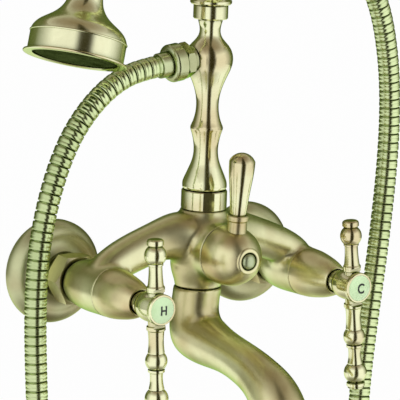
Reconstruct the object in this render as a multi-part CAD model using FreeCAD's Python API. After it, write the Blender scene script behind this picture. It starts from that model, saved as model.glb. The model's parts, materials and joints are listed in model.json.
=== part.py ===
# Wall-mounted bath and shower mixer: two lever valves, a diverter, a swivel spout, a riser
# column with a cradle, and a hand shower on a metal hose.
#
# The origin lies on the wall, mid-way between the two inlets. +X points to the cold side,
# +Y into the wall and +Z up, so the mixer stands at negative Y. Lengths are millimetres.
# A distance called out is measured from the wall towards the user.

import FreeCAD, Part
import math
import os

V = FreeCAD.Vector
os.makedirs("parts", exist_ok=True)

# Layout
inlet_spacing = 150.0
body_out = 61.0
lever_out = 122.0
diverter_height = 20.5
body_bottom = -5.3
body_top = 45.3
handset_height = 238.0
bulb_height = 142.0
outlet_height = bulb_height + 1.8
spout_out = 57.5

# Fits
running_gap = 0.05
fixed_gap = 0.1
free_gap = 0.3
joint_gap = 0.4

# Wall unions, roses and union nuts
tail_radius = 10.48
tail_length = 22.0
union_radius = 13.2
union_length = 26.0
waterway_radius = 6.0
washer_thickness = 2.0
body_tail_collar = 3.0
body_tail_radius = 9.8
rose_radius = 33.5
rose_depth = 15.5
rose_wall = 1.2
nut_across_flats = 30.0
nut_length = 14.0
nut_lip = 3.9

# Valve bosses and their bonnets
boss_back = 36.5
boss_length = 37.5
boss_radius = 16.2
spigot_radius = 12.4
spigot_length = 5.0
bonnet_length = 31.0
bonnet_front_radius = 8.6
bonnet_wall = 1.8

# Ceramic valve cartridges
chamber_radius = 10.6
chamber_floor = 50.0
seal_thickness = 2.5
disc_thickness = 3.0
disc_radius = 8.2
foot_thickness = 3.4
spindle_radius = 4.5
drive_radius = 3.8
drive_length = 15.0
cartridge_flats = 21.0
cartridge_hex_length = 5.5
cartridge_neck_radius = 6.8

# Lever handles
hub_neck_radius = 7.2
hub_radius = 9.5
bezel_radius = 9.75
bezel_length = 3.6
button_radius = 8.2
button_crown = 1.6
ball_radius = 6.9
end_ball_radius = 7.4
upper_ball_at = 33.0
lower_ball_at = 33.2
end_ball_at = 57.2
upper_cap_top = 43.0
lower_end = 69.0
arm_radius = 4.9
hot_lean = -2.8
cold_lean = -5.4
handle_screw_radius = 2.0

# Diverter
knob_back = 86.0
knob_radius = 19.0
knob_length = 27.0
knob_wall = 2.4
front_boss_radius = 18.6
diverter_bore = 11.0
diverter_floor = 50.0
diverter_cap_radius = 6.9
stick_forward = 10.8
stick_out = knob_back + stick_forward
stick_lean = 4.3
stick_collar_radius = 6.5
stick_collar_bottom = 14.0
stick_collar_top = 27.6
stick_top = 67.3
stick_crown = 5.4
stick_radius = 8.2
stick_stud_radius = 2.5

# Riser column
column_bore = 5.0
column_spigot_radius = 11.5
column_spigot_length = 6.7
column_tail_radius = 8.1
column_nut_radius = 14.6
column_nut_top = 57.7
column_base = 58.1
column_top = bulb_height + 24.7
column_stud_radius = 5.0
column_stud_length = 20.0
nut_slots = 4
nut_slot_width = 7.2
nut_slot_depth = 0.6
nut_slot_turn = 22.0
cradle_nut_radius = 11.0
cradle_nut_height = 9.2
cradle_base_radius = 13.2

# Cradle
fork_half_spacing = 24.0
fork_width = 8.0
fork_thickness = 4.0
liner_thickness = 1.1
yoke_lead = 2.0    # the yoke's arc is this much wider than the forks' half spacing
yoke_radius = fork_half_spacing + yoke_lead
yoke_bar_radius = 4.2

# Hose outlet on the column, and the fittings on both ends of the hose
outlet_droop = 8.0
outlet_flats = 20.5
outlet_hex_start = 16.5
outlet_hex_length = 5.9
hose_thread_radius = 9.4
hose_thread_length = 5.6
hose_washer = 1.4
hose_nut_radius = 12.0
hose_nut_wall = 1.4
ferrule_radius = 8.0
ferrule_length = 7.1

# Hose
hose_diameter = 14.0
hose_bore_radius = 4.0
hose_groove = 0.9
hose_ribs = 100

# Spout
spout_radius = 14.7
spout_turn = 3.0
spout_wall = 2.2
spout_tail_radius = 9.5
spout_tail_length = 11.0
aerator_radius = 12.1
aerator_length = 9.0

# Hand shower
handle_radius = 9.0
grip_radius = 11.6
grip_half_flat = 7.0
grip_bore = 4.5
handset_roll = 9.2
head_lean = 16.0
head_drop = 91.2
head_left = 109.3
lip_radius = 32.1
lip_height = 1.6
skirt_radius = 29.7
skirt_height = 14.4
bell_wall = 1.6
bell_height = 48.0
elbow_radius = 46.0
elbow_tube_radius = 7.8
tail_start = 58.0
tail_bend_radius = 52.0
tail_bend = 60.0
plate_thickness = 2.0
nozzle_radius = 0.8

solids_saved = {}


def save(name, *solids):
    # Writes one node; several solids are kept apart in a compound.
    shape = solids[0] if len(solids) == 1 else Part.makeCompound(list(solids))
    if not shape.isValid() or shape.Volume <= 0:
        print("not sound:", name)
    shape.exportStep("parts/" + name + ".step")
    solids_saved[name] = shape


def place(origin, axis):
    # Takes the local Z axis, along which every turned piece is drawn, to the given axis.
    return FreeCAD.Placement(V(*origin), FreeCAD.Rotation(V(0, 0, 1), V(*axis)))


def moved(shape, placement):
    result = shape.copy()
    result.transformShape(placement.toMatrix(), True)
    return result


def outline(points):
    # A closed outline of (radius, height) corners. A corner with a third entry is the middle
    # of an arc, and a list of corners is a smooth curve that starts at the corner before it.
    edges = []
    at = points[0]
    todo = list(points[1:]) + [points[0]]
    while todo:
        step = todo.pop(0)
        if isinstance(step, list):
            curve = Part.BSplineCurve()
            curve.interpolate([V(p[0], 0, p[1]) for p in [at] + step])
            edges.append(curve.toShape())
            at = step[-1]
        elif len(step) == 3:
            end = todo.pop(0)
            arc = Part.Arc(V(at[0], 0, at[1]), V(step[0], 0, step[1]), V(end[0], 0, end[1]))
            edges.append(arc.toShape())
            at = end
        else:
            edges.append(Part.LineSegment(V(at[0], 0, at[1]), V(step[0], 0, step[1])).toShape())
            at = step
    return Part.Face(Part.Wire(edges))


def turned(points, placement=FreeCAD.Placement()):
    return moved(outline(points).revolve(V(0, 0, 0), V(0, 0, 1), 360), placement)


def ring(outer, inner, low, high, placement=FreeCAD.Placement()):
    return turned([(inner, low), (outer, low), (outer, high), (inner, high)], placement)


def rod(radius, low, high, placement=FreeCAD.Placement()):
    return moved(Part.makeCylinder(radius, high - low, V(0, 0, low)), placement)


def prism(sides, across_flats, low, high, placement=FreeCAD.Placement()):
    # A regular prism with flats facing up and down.
    corner = across_flats / 2 / math.cos(math.pi / sides)
    turns = [(k + 0.5) * 2 * math.pi / sides + math.pi / 2 for k in range(sides + 1)]
    wire = Part.makePolygon([V(corner * math.cos(a), corner * math.sin(a), low) for a in turns])
    return moved(Part.Face(wire).extrude(V(0, 0, high - low)), placement)


def chamfered_nut(sides, across_flats, low, high, placement=FreeCAD.Placement()):
    # A prism whose corners are turned down at both ends, as on a real nut.
    corner = across_flats / 2 / math.cos(math.pi / sides)
    drop = (corner - across_flats / 2) * 0.6
    turned_down = turned([(0, low), (across_flats / 2, low), (corner, low + drop),
                          (corner, high - drop), (across_flats / 2, high), (0, high)])
    return moved(prism(sides, across_flats, low, high).common(turned_down), placement)


def dome(radius, low, high):
    # The outline of a ball's cap that closes on the axis, as arc middle and end.
    rise = high - low
    ball = (radius ** 2 + rise ** 2) / (2 * rise)
    half = math.atan2(radius, low - high + ball) / 2
    return (ball * math.sin(half), high - ball + ball * math.cos(half), "middle"), (0, high)


def ball_arc(radius, centre, low, high):
    # The part of a ball's outline between two heights, as arc middle and end.
    start = math.sqrt(max(radius ** 2 - (low - centre) ** 2, 0))
    end = math.sqrt(max(radius ** 2 - (high - centre) ** 2, 0))
    return (start, low), (radius, centre, "middle"), (end, high)


def bent_rod(radius, bend_radius, angle, inner=0):
    # A rod bent round the Y axis: it starts on the X axis at the bend radius and turns up.
    disc = Part.Face(Part.Wire(Part.makeCircle(radius, V(bend_radius, 0, 0), V(0, 0, 1))))
    if inner:
        disc = disc.cut(Part.Face(Part.Wire(Part.makeCircle(inner, V(bend_radius, 0, 0), V(0, 0, 1)))))
    return disc.revolve(V(0, 0, 0), V(0, -1, 0), angle)


def circle_at(centre, direction, radius):
    return Part.Wire(Part.makeCircle(radius, V(*centre), V(*direction)))


upright = place((0, -body_out, 0), (0, 0, 1))
spout_axis = place((0, -spout_out, 0), (0, 0, 1))
diverter_axis = place((0, 0, diverter_height), (0, -1, 0))
valve_axis = {side: place((sign * inlet_spacing / 2, 0, 0), (0, -1, 0))
              for side, sign in (("hot", -1), ("cold", 1))}
collar_low = union_length + washer_thickness
collar_high = collar_low + body_tail_collar
boss_front = boss_back + boss_length
bonnet_front = boss_front + bonnet_length


def make_wall_side(side):
    axis = valve_axis[side]
    bore = waterway_radius
    union = turned([(bore, -tail_length), (tail_radius, -tail_length), (tail_radius, 0.6),
                    (union_radius, 2.6), (union_radius, union_length), (bore, union_length)], axis)
    save(side + "_wall_union", union)

    hole = union_radius + fixed_gap
    rose = turned([(rose_radius, 0), (rose_radius, 1.8), (31.2, 8.2, "middle"), (24.5, 11.8),
                   (19.5, 12.9, "middle"), (hole + 2.0, rose_depth), (hole, rose_depth),
                   (hole, 8.5), (hole + rose_wall, 8.5), (hole + rose_wall, 12.2),
                   (24.2, 10.6), (29.6, 7.0), (rose_radius - rose_wall, 1.8), (rose_radius - rose_wall, 0)], axis)
    save(side + "_rose", rose)

    nut_low = collar_high + fixed_gap + nut_lip - nut_length
    nut_high = nut_low + nut_length
    nut = chamfered_nut(6, nut_across_flats, nut_low, nut_high, axis)
    nut = nut.cut(rod(union_radius + fixed_gap, nut_low - 1, collar_high + fixed_gap, axis))
    nut = nut.cut(rod(body_tail_radius + fixed_gap, nut_low - 1, nut_high + 1, axis))
    save(side + "_union_nut", nut)


def make_washers():
    save("union_washers", *[ring(union_radius - 0.9, waterway_radius + 1.0, union_length,
                                 collar_low, axis) for axis in valve_axis.values()])


# Arm sections: distance from the middle, how much nearer the wall than the column, height,
# radius, and the slope of the arm there.
arm_sections = [(4.0, 0.0, 24.0, 19.4, 0.10), (15.0, 0.5, 26.6, 17.9, 0.26), (24.0, 1.0, 27.2, 15.4, 0.34),
                (34.0, 1.5, 26.2, 13.0, 0.42), (46.0, 2.0, 22.4, 12.4, 0.44), (58.0, 2.0, 17.9, 12.0, 0.50),
                (67.0, 1.5, 13.4, 11.8, 0.66), (74.0, 1.0, 7.4, 11.8, 1.1)]
# Vessel sections: height, how much nearer the wall than the column, and radius.
vessel_sections = [(body_bottom, body_out - spout_out, spout_radius), (-1.5, 3.1, 15.7), (6.0, 1.8, 18.6),
                   (16.0, 0.5, 19.8), (26.0, 0.0, 19.8), (36.5, 0.0, 18.0), (body_top, 0.0, column_nut_radius)]


def arm(sign, shrink=0.0):
    wires = []
    for along, back, height, radius, slope in arm_sections:
        wires.append(circle_at((sign * along, back - body_out, height), (sign, 0, -slope),
                               radius if not shrink else shrink))
    return Part.makeLoft(wires, True, False)


def make_body_casting():
    vessel = Part.makeLoft([circle_at((0, back - body_out, height), (0, 0, 1), radius)
                            for height, back, radius in vessel_sections], True, False)
    vessel = vessel.fuse(rod(column_spigot_radius, diverter_height, body_top + column_spigot_length, upright))
    front_boss = turned([(0, body_out - 12), (front_boss_radius - 0.6, body_out - 12),
                         (front_boss_radius, knob_back), (0, knob_back)], diverter_axis)
    body = vessel.fuse(front_boss)
    for side, sign in (("hot", -1), ("cold", 1)):
        boss = turned([(0, collar_low), (union_radius - 0.8, collar_low),
                       (union_radius - 0.8, collar_high), (body_tail_radius, collar_high),
                       (body_tail_radius, boss_back), (13.4, boss_back),
                       [(15.1, boss_back + 6), (boss_radius, boss_back + 20), (15.8, boss_front)],
                       (spigot_radius, boss_front), (spigot_radius, boss_front + spigot_length),
                       (0, boss_front + spigot_length)], valve_axis[side])
        body = body.fuse(boss).fuse(arm(sign))
    body = body.removeSplitter()

    for side, sign in (("hot", -1), ("cold", 1)):
        axis = valve_axis[side]
        body = body.cut(rod(chamber_radius, chamber_floor, boss_front + spigot_length + 1, axis))
        body = body.cut(rod(waterway_radius, collar_low - 1, chamber_floor + 1, axis))
        body = body.cut(arm(sign, waterway_radius))
    body = body.cut(rod(diverter_bore, diverter_floor, knob_back + 1, diverter_axis))
    body = body.cut(rod(column_tail_radius + fixed_gap, body_top - 12, body_top + 20, upright))
    body = body.cut(rod(column_bore, diverter_height, body_top, upright))
    body = body.cut(rod(spout_tail_radius + running_gap, body_bottom - 1,
                        body_bottom + spout_tail_length + 1, spout_axis))
    body = body.cut(rod(waterway_radius, body_bottom, diverter_height, spout_axis))
    save("body_casting", body)


seat_seals = []
fixed_discs = []


def make_cartridge(side):
    # A quarter-turn ceramic cartridge: the fixed pieces stay in the body, and the spindle
    # with its disc turns with the lever.
    axis = valve_axis[side]
    seal_top = chamber_floor + seal_thickness
    fixed_top = seal_top + disc_thickness
    moving_low = fixed_top + running_gap
    foot_low = moving_low + disc_thickness
    foot_high = foot_low + foot_thickness
    shoulder = foot_high + free_gap
    spigot_end = boss_front + spigot_length
    hex_low = spigot_end + fixed_gap
    hex_high = hex_low + cartridge_hex_length
    neck_top = bonnet_front - 8.0
    drive_low = neck_top + 2.0
    drive_top = drive_low + drive_length
    skirt = disc_radius + 0.3

    seat_seals.append(ring(disc_radius + 0.1, waterway_radius, chamber_floor, seal_top, axis))

    fixed_disc = rod(disc_radius + 0.1, seal_top, fixed_top, axis)
    moving_disc = rod(disc_radius, moving_low, foot_low, axis)
    for sign in (-1, 1):
        port = rod(2.4, seal_top - 1, foot_low + 1, place((0, sign * 4.6, 0), (0, 0, 1)))
        fixed_disc = fixed_disc.cut(moved(port, axis))
        crossed = rod(2.4, seal_top - 1, foot_low + 1, place((sign * 4.6, 0, 0), (0, 0, 1)))
        moving_disc = moving_disc.cut(moved(crossed, axis))
    fixed_discs.append(fixed_disc)
    save(side + "_moving_disc", moving_disc)

    hole = spindle_radius + running_gap
    body = turned([(skirt, chamber_floor + free_gap), (chamber_radius - fixed_gap, chamber_floor + free_gap),
                   (chamber_radius - fixed_gap, hex_low), (cartridge_neck_radius, hex_low),
                   (cartridge_neck_radius, neck_top), (hole, neck_top),
                   (hole, shoulder), (skirt, shoulder)])
    flange = prism(6, cartridge_flats, hex_low, hex_high).cut(rod(hole, hex_low - 1, hex_high + 1))
    window = Part.makeBox(40, 9.0, foot_high - moving_low, V(-20, -4.5, moving_low))
    body = body.fuse(flange).removeSplitter().cut(window)
    save(side + "_cartridge_body", moved(body, axis))

    spindle = rod(disc_radius, foot_low, foot_high).fuse(rod(spindle_radius, foot_low, drive_low))
    spindle = spindle.fuse(prism(8, drive_radius * 2 * math.cos(math.pi / 8), drive_low - 1, drive_top))
    spindle = spindle.removeSplitter().cut(rod(handle_screw_radius + running_gap, drive_top - 10, drive_top + 1))
    save(side + "_spindle", moved(spindle, axis))
    return drive_low, drive_top


def make_bonnet(side):
    inner_front = hub_neck_radius + 0.6
    spigot = spigot_radius + fixed_gap
    spigot_end = boss_front + spigot_length
    bonnet = turned([(spigot, boss_front + fixed_gap), (15.6, boss_front + fixed_gap),
                     [(15.5, boss_front + 5), (14.2, boss_front + 14), (12.4, boss_front + 22),
                      (bonnet_front_radius + 0.5, bonnet_front - 0.8)],
                     (bonnet_front_radius, bonnet_front), (inner_front, bonnet_front),
                     (inner_front, bonnet_front - 2.2), (9.0, bonnet_front - 5.0),
                     (spigot, spigot_end + 7), (spigot, spigot_end)],
                    valve_axis[side])
    save(side + "_bonnet", bonnet)


def upper_arm():
    ball_low = upper_ball_at - 5.2
    ball_high = upper_ball_at + 5.6
    start, middle, end = ball_arc(ball_radius, upper_ball_at, ball_low, ball_high)
    return [(0, 4), (arm_radius, 4), (arm_radius, 9.8), (5.6, 10.4), (5.7, 13.2), (5.0, 14.2),
            (arm_radius, 14.6), [(4.3, 21), (4.2, ball_low - 1.2)], (4.8, ball_low - 1.0),
            (4.8, ball_low), start, middle, end, (4.6, ball_high + 0.3), (5.3, ball_high + 1.0),
            (5.3, upper_cap_top - 1.4), (4.6, upper_cap_top - 0.3, "middle"), (3.2, upper_cap_top),
            (0, upper_cap_top)]


def lower_arm():
    first_low = lower_ball_at - 5.0
    first_high = lower_ball_at + 5.3
    first = ball_arc(ball_radius, lower_ball_at, first_low, first_high)
    last_low = end_ball_at - 6.0
    last_high = end_ball_at + 5.6
    last = ball_arc(end_ball_radius, end_ball_at, last_low, last_high)
    ring_at = last_high + 0.5
    return [(0, 4), (5.0, 4), (5.0, 10.8), (5.9, 11.4), (5.9, 13.6), (5.1, 14.3),
            [(4.7, 20), (5.2, first_low - 0.6)], (5.2, first_low), *first,
            (5.2, first_high + 0.2), (5.2, first_high + 1.6), (4.2, first_high + 2.2),
            [(4.0, first_high + 7), (4.8, last_low - 0.6)], (4.8, last_low), *last,
            (4.4, ring_at), (5.9, ring_at + 0.6), (5.9, ring_at + 2.4), (5.0, ring_at + 2.9),
            (5.2, lower_end - 2.0), *dome(5.2, lower_end - 2.0, lower_end)]


def make_lever(side, lean, drive):
    drive_low, drive_top = drive
    axis = valve_axis[side]
    bezel_low = lever_out + 3.8
    bezel_high = bezel_low + bezel_length
    hub_start = drive_low + 0.2
    socket_end = drive_top + free_gap
    recess_low = bezel_high - 3.0
    screw_seat = socket_end + 2.0
    hub = turned([(0, hub_start), (hub_neck_radius, hub_start), (hub_neck_radius, 108.8),
                  [(8.9, 112.5), (hub_radius, 117.0), (9.1, 122.5), (8.7, bezel_low - 0.4)],
                  (8.7, bezel_low), (0, bezel_low)], axis)
    sign = -1 if side == "hot" else 1
    turn = math.radians(lean)
    centre = (sign * inlet_spacing / 2, -lever_out, 0)
    lever = hub.fuse(turned(upper_arm(), place(centre, (math.sin(turn), 0, math.cos(turn)))))
    lever = lever.fuse(turned(lower_arm(), place(centre, (-math.sin(turn), 0, -math.cos(turn)))))
    lever = lever.removeSplitter()
    flats = (drive_radius + running_gap) * 2 * math.cos(math.pi / 8)
    lever = lever.cut(prism(8, flats, hub_start - 1, socket_end, axis))
    lever = lever.cut(rod(handle_screw_radius + fixed_gap, hub_start, bezel_low + 1, axis))
    lever = lever.cut(rod(4.4, screw_seat, bezel_low + 1, axis))
    lever = lever.cut(rod(bezel_radius + 3, bezel_low, bezel_low + 4, axis))
    save(side + "_lever", lever)

    bezel = turned([(button_radius + fixed_gap, recess_low), (4.4, recess_low), (4.4, bezel_low),
                    (9.0, bezel_low), (bezel_radius, bezel_low + 1.0),
                    (bezel_radius, bezel_high - 0.6), (9.3, bezel_high),
                    (button_radius + fixed_gap, bezel_high)], axis)
    save(side + "_bezel", bezel)

    button = turned([(0, recess_low), (button_radius, recess_low), (button_radius, bezel_high),
                     *dome(button_radius, bezel_high, bezel_high + button_crown)], axis)
    save(side + "_button", button)

    screw_top = screw_seat + 2.2
    screw = turned([(0, drive_top - 9), (handle_screw_radius, drive_top - 9),
                    (handle_screw_radius, screw_seat), (3.6, screw_seat),
                    (3.6, screw_top - 0.5), (3.0, screw_top), (0, screw_top)], axis)
    slot = Part.makeBox(8, 0.9, 1.0, V(-4, -0.45, screw_top - 1.0))
    save(side + "_handle_screw", screw.cut(moved(slot, axis)))


def make_diverter():
    axis = diverter_axis
    knob_front = knob_back + knob_length
    low = knob_back + joint_gap
    hex_low = knob_back + fixed_gap
    hex_high = hex_low + 4.0
    neck_top = hex_high + 5.0
    hub_low = neck_top + free_gap
    drive_top = hub_low + 9.0
    cap_floor = knob_front - 3.0
    outer = [(knob_radius - 0.7, low), (knob_radius, low + 1.2),
             [(knob_radius, low + 6), (18.2, low + 12.4), (15.3, low + 18.8),
              (11.2, low + 23.6), (8.3, knob_front - 0.8)], (7.6, knob_front)]
    knob = turned([(0, low), *outer, (0, knob_front)])
    hollow = turned([(7.4, low - 1), (knob_radius - knob_wall, low - 1),
                     (knob_radius - knob_wall, low + 7), (15.2, low + 12), (12.0, low + 16.5),
                     (7.4, low + 17)])
    knob = knob.cut(hollow).cut(rod(7.4, low - 1, hub_low))
    knob = knob.cut(rod(drive_radius + running_gap, low, drive_top + free_gap))
    knob = knob.cut(rod(2.1, low, knob_front)).cut(rod(diverter_cap_radius + fixed_gap, cap_floor, knob_front + 1))
    knob = knob.cut(rod(3.9, cap_floor - 3.0, knob_front))
    knob = moved(knob, axis)
    envelope = turned([(0, low), *outer, (0, knob_front)], axis)

    lean = math.radians(stick_lean)
    stick = place((0, -stick_out, diverter_height), (0, -math.sin(lean), math.cos(lean)))
    stud = rod(stick_stud_radius + fixed_gap, 8.0, stick_collar_bottom + 8, stick)
    save("diverter_knob", knob.cut(stud))

    collar = turned([(stick_stud_radius + fixed_gap, stick_collar_bottom),
                     (stick_collar_radius, stick_collar_bottom),
                     (stick_collar_radius - 0.4, stick_collar_top - 4.2),
                     (stick_collar_radius + 0.5, stick_collar_top - 3.2),
                     (stick_collar_radius + 0.5, stick_collar_top - 0.6),
                     (stick_collar_radius, stick_collar_top),
                     (stick_stud_radius + fixed_gap, stick_collar_top)], stick)
    save("diverter_collar", collar.cut(envelope))

    grip_low = stick_collar_top + running_gap
    grip = turned([(0, 10.0), (stick_stud_radius, 10.0), (stick_stud_radius, grip_low), (5.0, grip_low),
                   [(5.3, grip_low + 3), (6.5, grip_low + 15), (7.7, grip_low + 25),
                    (stick_radius, stick_top - stick_crown)],
                   *dome(stick_radius, stick_top - stick_crown, stick_top)], stick)
    save("diverter_grip", grip)

    save("diverter_cap", turned([(0, cap_floor), (diverter_cap_radius, cap_floor),
                                 (diverter_cap_radius, knob_front - 0.7),
                                 (diverter_cap_radius - 0.8, knob_front),
                                 *dome(diverter_cap_radius - 0.8, knob_front, knob_front + 0.8)], axis))
    head_low = cap_floor - 3.0
    save("diverter_screw", turned([(0, drive_top - 8), (handle_screw_radius, drive_top - 8),
                                   (handle_screw_radius, head_low), (3.5, head_low),
                                   (3.5, head_low + 2.4), (0, head_low + 2.4)], axis))

    hole = spindle_radius + running_gap
    drum_high = body_out + 8.0
    drum_radius = 7.6
    shell = turned([(drum_radius + running_gap, diverter_floor + 2), (diverter_bore - fixed_gap, diverter_floor + 2),
                    (diverter_bore - fixed_gap, hex_low), (cartridge_neck_radius, hex_low),
                    (cartridge_neck_radius, neck_top), (hole, neck_top),
                    (hole, drum_high + free_gap), (drum_radius + running_gap, drum_high + free_gap)])
    flange = prism(6, 24.0, hex_low, hex_high).cut(rod(hole, hex_low - 1, hex_high + 1))
    shell = moved(shell.fuse(flange).removeSplitter(), axis)
    shell = shell.cut(rod(column_bore, diverter_height - 20, diverter_height + 20, upright))
    save("diverter_cartridge", shell)

    spindle = rod(drum_radius, diverter_floor + 2.4, drum_high).fuse(rod(spindle_radius, drum_high - 1, neck_top))
    spindle = spindle.fuse(prism(8, drive_radius * 2 * math.cos(math.pi / 8), neck_top - 1, drive_top))
    spindle = spindle.removeSplitter().cut(rod(handle_screw_radius + running_gap, drive_top - 10, drive_top + 1))
    groove = Part.makeBox(6.4, 30, 9.0, V(-3.2, -1.0, body_out - 4.5))
    save("diverter_spindle", moved(spindle.cut(groove), axis))
    save("diverter_seal", ring(diverter_bore - 1.0, 5.0, diverter_floor, diverter_floor + 2.0, axis))


outlet_turn = math.radians(outlet_droop)
outlet_axis = place((0, -body_out, outlet_height), (-math.cos(outlet_turn), 0, -math.sin(outlet_turn)))
nut_bottom = body_top + 0.2
lip_low = column_nut_top - 3.1


def make_column():
    bead_at = column_base + 39.3
    tail_low = body_top - 5.0
    collar_at = body_top + column_spigot_length + 0.2
    profile = [(column_bore, tail_low), (column_tail_radius, tail_low), (column_tail_radius, collar_at),
               (column_spigot_radius - 0.2, collar_at), (column_spigot_radius - 0.2, lip_low - fixed_gap),
               (9.7, lip_low - fixed_gap), (9.7, column_base), (13.5, column_base),
               (14.2, column_base + 1.6), (14.2, column_base + 4.4),
               [(11.2, column_base + 11.9), (8.2, column_base + 20.4), (8.0, column_base + 28.9),
                (9.3, bead_at - 4.0), (10.2, bead_at - 1.2)],
               (10.7, bead_at, "middle"), (10.2, bead_at + 1.2),
               [(8.9, bead_at + 4.2), (7.4, bead_at + 10.6), (7.3, bead_at + 17.6),
                (8.8, bulb_height - 19.5), (12.2, bulb_height - 11.0), (15.0, bulb_height - 3.5),
                (15.1, bulb_height + 1.5), (12.8, bulb_height + 7.2), (8.6, bulb_height + 12.0),
                (6.7, bulb_height + 16.0), (7.0, bulb_height + 20.5), (8.0, column_top)],
               (column_stud_radius, column_top), (column_stud_radius, column_top + column_stud_length),
               (0, column_top + column_stud_length), (0, bulb_height + 8), (column_bore, bulb_height + 6)]
    column = turned(profile, upright)
    column = column.cut(rod(6.6, 3, 30, outlet_axis))
    save("riser_column", column)

    nut = turned([(column_spigot_radius + fixed_gap, nut_bottom), (column_nut_radius - 0.5, nut_bottom),
                  (column_nut_radius, nut_bottom + 0.6), (column_nut_radius, column_nut_top - 0.6),
                  (column_nut_radius - 0.5, column_nut_top), (9.7 + fixed_gap, column_nut_top),
                  (9.7 + fixed_gap, lip_low), (column_spigot_radius + fixed_gap, lip_low)])
    slot = Part.makeBox(nut_slot_width, 4, 20,
                        V(-nut_slot_width / 2, column_nut_radius - nut_slot_depth, nut_bottom - 2))
    for k in range(nut_slots):
        turned_slot = slot.copy()
        turned_slot.rotate(V(0, 0, 0), V(0, 0, 1), 180 - nut_slot_turn + 360 * k / nut_slots)
        nut = nut.cut(turned_slot)
    save("column_nut", moved(nut, upright))
    washer_low = tail_low - 2.0
    save("column_seal", ring(column_tail_radius - 0.1, column_bore, washer_low, tail_low, upright))
    return column


def make_outlet(column):
    hex_high = outlet_hex_start + outlet_hex_length
    thread_high = hex_high + hose_thread_length
    bore = 4.5
    fitting = turned([(bore, 7), (6.5, 7), (6.5, 13.5), (8.6, 13.5), (8.6, outlet_hex_start),
                      (hose_thread_radius, outlet_hex_start), (hose_thread_radius, thread_high),
                      (bore, thread_high)], outlet_axis)
    hexagon = chamfered_nut(6, outlet_flats, outlet_hex_start, hex_high, outlet_axis)
    hexagon = hexagon.cut(rod(bore, outlet_hex_start - 1, hex_high + 1, outlet_axis))
    fitting = fitting.fuse(hexagon).removeSplitter()
    bulb = column.fuse(rod(column_bore + 1, bulb_height - 30, bulb_height + 5, upright))
    fitting = fitting.cut(bulb)
    save("hose_outlet_fitting", fitting)
    save_hose_end("hose_outlet", outlet_axis, thread_high, hex_high)
    return thread_high


def save_hose_end(name, axis, thread_high, shoulder):
    # Washer, round nut and ferrule, drawn along the axis that the hose leaves by.
    washer_high = thread_high + hose_washer
    flange_high = washer_high + 0.6
    nut_low = shoulder + 0.2
    nut_high = flange_high + fixed_gap + hose_nut_wall
    sleeve = 6.6
    save(name + "_washer", ring(hose_thread_radius - 0.5, 5.0, thread_high, washer_high, axis))
    nut = turned([(hose_thread_radius + fixed_gap, nut_low), (hose_nut_radius - 0.5, nut_low),
                  (hose_nut_radius, nut_low + 0.7), (hose_nut_radius, nut_high - 2.2),
                  (hose_nut_radius - 1.4, nut_high - 0.4, "middle"), (hose_nut_radius - 3.0, nut_high),
                  (sleeve + fixed_gap, nut_high), (sleeve + fixed_gap, flange_high + fixed_gap),
                  (hose_thread_radius + fixed_gap, flange_high + fixed_gap)], axis)
    save(name + "_nut", nut)
    ferrule_high = nut_high + 0.2 + ferrule_length
    flange = hose_thread_radius - 0.6
    ferrule = turned([(hose_bore_radius, washer_high), (flange, washer_high), (flange, flange_high),
                      (sleeve, flange_high), (sleeve, nut_high + 0.2), (ferrule_radius, nut_high + 0.4),
                      (ferrule_radius, ferrule_high - 0.6), (ferrule_radius - 0.5, ferrule_high),
                      (hose_bore_radius, ferrule_high)], axis)
    save(name + "_ferrule", ferrule)
    return ferrule_high


fork_inner = handle_radius + free_gap + liner_thickness
fork_outer = fork_inner + fork_thickness


def make_cradle():
    base = column_top + cradle_nut_height + 0.2
    hole = column_stud_radius + fixed_gap
    nut = turned([(hole, column_top + 0.1), (cradle_nut_radius - 0.6, column_top + 0.1),
                  (cradle_nut_radius, column_top + 0.8), (cradle_nut_radius, base - 0.9),
                  (cradle_nut_radius - 0.6, base - 0.1), (hole, base - 0.1)], upright)
    save("cradle_nut", nut)

    yoke_centre = handset_height - fork_outer - 1.4 + math.sqrt(yoke_radius ** 2 - fork_half_spacing ** 2)
    yoke_bottom = yoke_centre - yoke_radius
    stem = turned([(0, base), (cradle_base_radius - 0.8, base), (cradle_base_radius, base + 0.9),
                   (cradle_base_radius, base + 2.4),
                   [(9.2, base + 5.0), (6.0, base + 10.0), (5.4, base + 15.0)],
                   (7.6, base + 17.4, "middle"), (5.6, base + 19.8),
                   (5.2, yoke_bottom - 1.0), (5.2, yoke_bottom + 2.0), (0, yoke_bottom + 2.0)], upright)
    half_turn = math.degrees(math.asin(fork_half_spacing / yoke_radius))
    bar = bent_rod(yoke_bar_radius, yoke_radius, 2 * half_turn)
    bar.rotate(V(0, 0, 0), V(0, -1, 0), -90 - half_turn)
    bar = moved(bar, FreeCAD.Placement(V(0, -body_out, yoke_centre), FreeCAD.Rotation()))
    cradle = stem.fuse(bar)
    liners = []
    middle = V(0, -body_out, handset_height)
    for sign in (-1, 1):
        low = sign * fork_half_spacing - fork_width / 2
        high = low + fork_width
        cradle = cradle.fuse(half_ring(low, high, fork_inner, fork_outer, middle))
        for tip in (-1, 1):
            ball = Part.makeSphere(fork_thickness * 0.72)
            ball.translate(middle + V(sign * fork_half_spacing, tip * (fork_inner + fork_outer) / 2, 1.2))
            cradle = cradle.fuse(ball)
        liners.append(half_ring(low + 0.4, high - 0.4, handle_radius + free_gap, fork_inner, middle))
    cradle = cradle.removeSplitter()
    cradle = cradle.cut(rod(hole, base - 1, column_top + column_stud_length + free_gap, upright))
    for sign in (-1, 1):
        low = sign * fork_half_spacing - fork_width / 2
        keep_clear = Part.makeCylinder(fork_inner, fork_width + 4, middle + V(low - 2, 0, 0), V(1, 0, 0))
        cradle = cradle.cut(keep_clear)
        lane = Part.makeBox(fork_width + 4, fork_inner * 2, 12, middle + V(low - 2, -fork_inner, 0))
        cradle = cradle.cut(lane)
    save("cradle", cradle)
    save("cradle_liners", *liners)


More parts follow.
